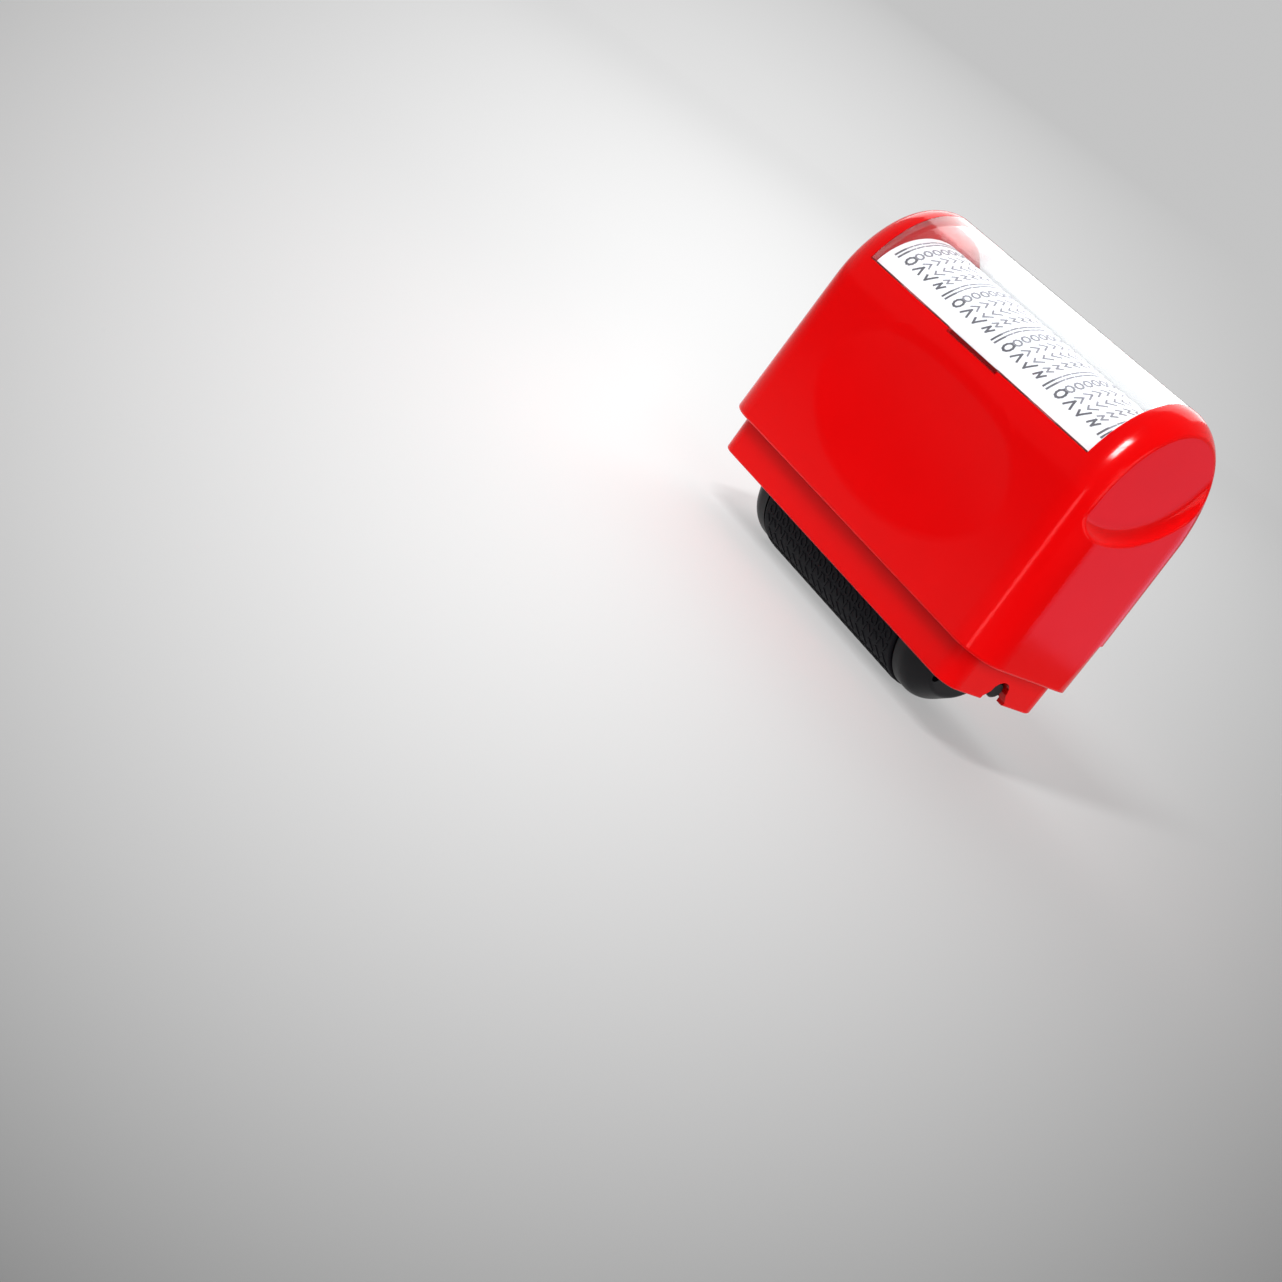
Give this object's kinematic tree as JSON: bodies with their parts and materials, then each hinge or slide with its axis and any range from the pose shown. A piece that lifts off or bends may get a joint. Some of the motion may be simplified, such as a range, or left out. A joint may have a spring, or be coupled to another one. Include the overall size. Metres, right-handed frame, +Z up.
{
  "type": "privacy roller stamp",
  "caption": "Hand-held roller stamp for hiding printed addresses: domed housing, clear index window and a pull-out cartridge with an inked roller on a steel axle.",
  "frame": {"origin": "on the ground under the middle of the roller, where its lowest line touches", "axes": "X along the roller's axle, -Y the front face with the pry lip, +Z up through the dome"},
  "size_m": [0.073, 0.0282, 0.0607],
  "materials": {
    "red_gloss": "polished ABS, pillar-box red",
    "clear_cover": "clear polycarbonate",
    "label_card": "white coated card with grey printed marks",
    "stamp_rubber": "matt porous rubber, damp with black ink",
    "black_plastic": "satin black acetal",
    "grey_plastic": "moulded grey polypropylene",
    "felt": "ink-soaked wool felt",
    "steel": "ground steel",
    "bush_bronze": "sintered bronze",
    "seal_rubber": "moulded nitrile rubber"
  },
  "bodies": {
    "body_shell": {"housing": "red_gloss", "index_label": "label_card"},
    "window": {"window_cover": "clear_cover"},
    "cartridge": {"roller_cradle": "red_gloss", "ink_guard": "grey_plastic", "guard_screws": "steel", "axle": "steel", "bearing_block_left": "black_plastic", "bearing_block_right": "black_plastic", "retaining_clip_left": "steel", "retaining_clip_right": "steel", "thrust_washer_left": "steel", "thrust_washer_right": "steel"},
    "roller": {"roller_core": "grey_plastic", "ink_felt": "felt", "stamp_sleeve": "stamp_rubber", "end_flange_left": "black_plastic", "end_flange_right": "black_plastic", "flange_gasket_left": "seal_rubber", "flange_gasket_right": "seal_rubber", "roller_bush_left": "bush_bronze", "roller_bush_right": "bush_bronze"}
  },
  "joints": [
    {"name": "cradle_pull", "type": "slide", "parent": "body_shell", "child": "cartridge", "axis": [0, 0, -1], "range_m": [0, 0.016]},
    {"name": "roller_spin", "type": "hinge", "parent": "cartridge", "child": "roller", "pos_m": [0, 0, 0.0104], "axis": [1, 0, 0], "continuous": true},
    {"name": "window_lift", "type": "slide", "parent": "body_shell", "child": "window", "axis": [0, 0, 1], "range_m": [0, 0.012]}
  ]
}
